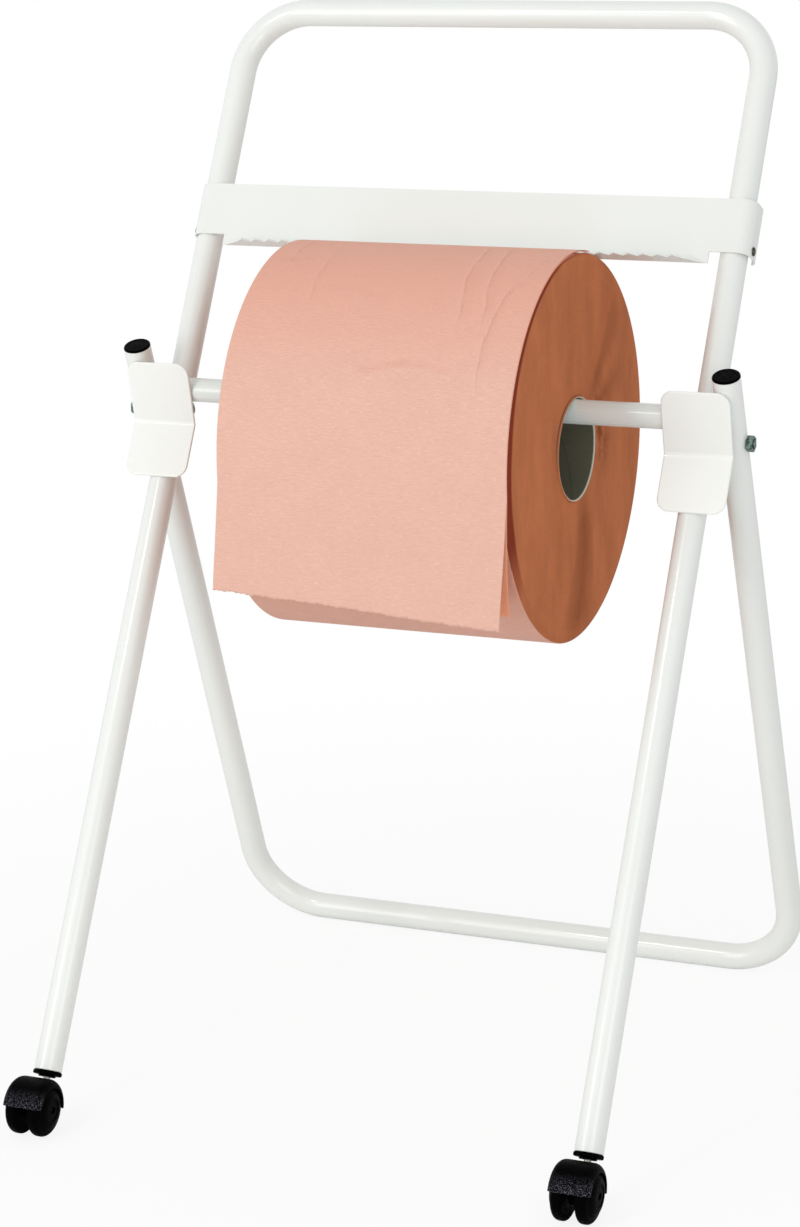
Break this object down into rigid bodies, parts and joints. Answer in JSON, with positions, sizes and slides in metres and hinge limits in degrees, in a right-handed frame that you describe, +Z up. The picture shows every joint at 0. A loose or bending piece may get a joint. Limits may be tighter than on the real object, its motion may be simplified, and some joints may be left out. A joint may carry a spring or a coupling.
{
  "type": "mobile floor stand for a wiping paper roll",
  "caption": "Folding tubular floor stand with castors, tear bar and spindle, carrying a large roll of wiping paper.",
  "frame": {"origin": "on the floor, under the centre of the bounding box of the stand as it stands open", "axes": "+Z up; +X to the right for someone who stands in front of the hanging paper; -Y to the front, where the castors and the hanging paper are; +Y to the back, where the handle and the rear foot are"},
  "size_m": [0.6084, 0.6102, 0.9281],
  "materials": {
    "white_lacquer": "warm white gloss powder coat",
    "black_plastic": "fine grained black moulding",
    "zinc_plate": "zinc plated steel",
    "bright_tube": "bright drawn steel tube",
    "grey_card": "wound grey card",
    "wound_paper": "wound soft tissue paper, darker at its cut ends",
    "salmon_paper": "soft unbleached salmon tissue"
  },
  "bodies": {
    "front_stand": {"front_frame": "white_lacquer", "bracket_left": "white_lacquer", "bracket_right": "white_lacquer", "tear_bar": "white_lacquer", "tear_bar_screw_left": "zinc_plate", "tear_bar_screw_right": "zinc_plate", "pivot_bolt_left": "zinc_plate", "pivot_bolt_right": "zinc_plate", "pivot_washer_left": "zinc_plate", "pivot_washer_right": "zinc_plate", "pivot_nut_left": "zinc_plate", "pivot_nut_right": "zinc_plate", "castor_socket_left": "black_plastic", "castor_socket_right": "black_plastic"},
    "rear_stand": {"rear_frame": "white_lacquer", "rear_plug_left": "black_plastic", "rear_plug_right": "black_plastic"},
    "spindle": {"spindle": "bright_tube"},
    "paper_tail": {"sheet_inner": "salmon_paper", "sheet_outer": "salmon_paper"},
    "roll": {"paper_roll": "wound_paper", "roll_core": "grey_card"},
    "castor_left": {"castor_hood_left": "black_plastic", "castor_stem_left": "zinc_plate", "castor_axle_left": "zinc_plate"},
    "castor_right": {"castor_hood_right": "black_plastic", "castor_stem_right": "zinc_plate", "castor_axle_right": "zinc_plate"},
    "wheel_left_inner": {"castor_wheel_left_inner": "black_plastic"},
    "wheel_left_outer": {"castor_wheel_left_outer": "black_plastic"},
    "wheel_right_inner": {"castor_wheel_right_inner": "black_plastic"},
    "wheel_right_outer": {"castor_wheel_right_outer": "black_plastic"}
  },
  "joints": [
    {"name": "rear_fold", "type": "hinge", "parent": "front_stand", "child": "rear_stand", "pos_m": [0, 0.08063, 0.57642], "axis": [-1, 0, 0], "range_deg": [0, 46.4]},
    {"name": "spindle_spin", "type": "hinge", "parent": "front_stand", "child": "spindle", "pos_m": [0, 0.06704, 0.59959], "axis": [1, 0, 0], "continuous": true},
    {"name": "roll_shift", "type": "slide", "parent": "front_stand", "child": "paper_tail", "axis": [1, 0, 0], "range_m": [-0.101, 0.083]},
    {"name": "roll_unwind", "type": "hinge", "parent": "paper_tail", "child": "roll", "pos_m": [0, 0.06704, 0.56569], "axis": [1, 0, 0], "continuous": true},
    {"name": "castor_swivel_left", "type": "hinge", "parent": "front_stand", "child": "castor_left", "pos_m": [-0.258, -0.25027, 0.04687], "axis": [0, 0.5299, 0.848], "continuous": true},
    {"name": "castor_swivel_right", "type": "hinge", "parent": "front_stand", "child": "castor_right", "pos_m": [0.258, -0.25027, 0.04687], "axis": [0, 0.5299, 0.848], "continuous": true},
    {"name": "wheel_roll_left_inner", "type": "hinge", "parent": "castor_left", "child": "wheel_left_inner", "pos_m": [-0.258, -0.28052, 0.0245], "axis": [1, 0, 0], "continuous": true},
    {"name": "wheel_roll_left_outer", "type": "hinge", "parent": "castor_left", "child": "wheel_left_outer", "pos_m": [-0.258, -0.28052, 0.0245], "axis": [1, 0, 0], "continuous": true},
    {"name": "wheel_roll_right_inner", "type": "hinge", "parent": "castor_right", "child": "wheel_right_inner", "pos_m": [0.258, -0.28052, 0.0245], "axis": [1, 0, 0], "continuous": true},
    {"name": "wheel_roll_right_outer", "type": "hinge", "parent": "castor_right", "child": "wheel_right_outer", "pos_m": [0.258, -0.28052, 0.0245], "axis": [1, 0, 0], "continuous": true}
  ]
}
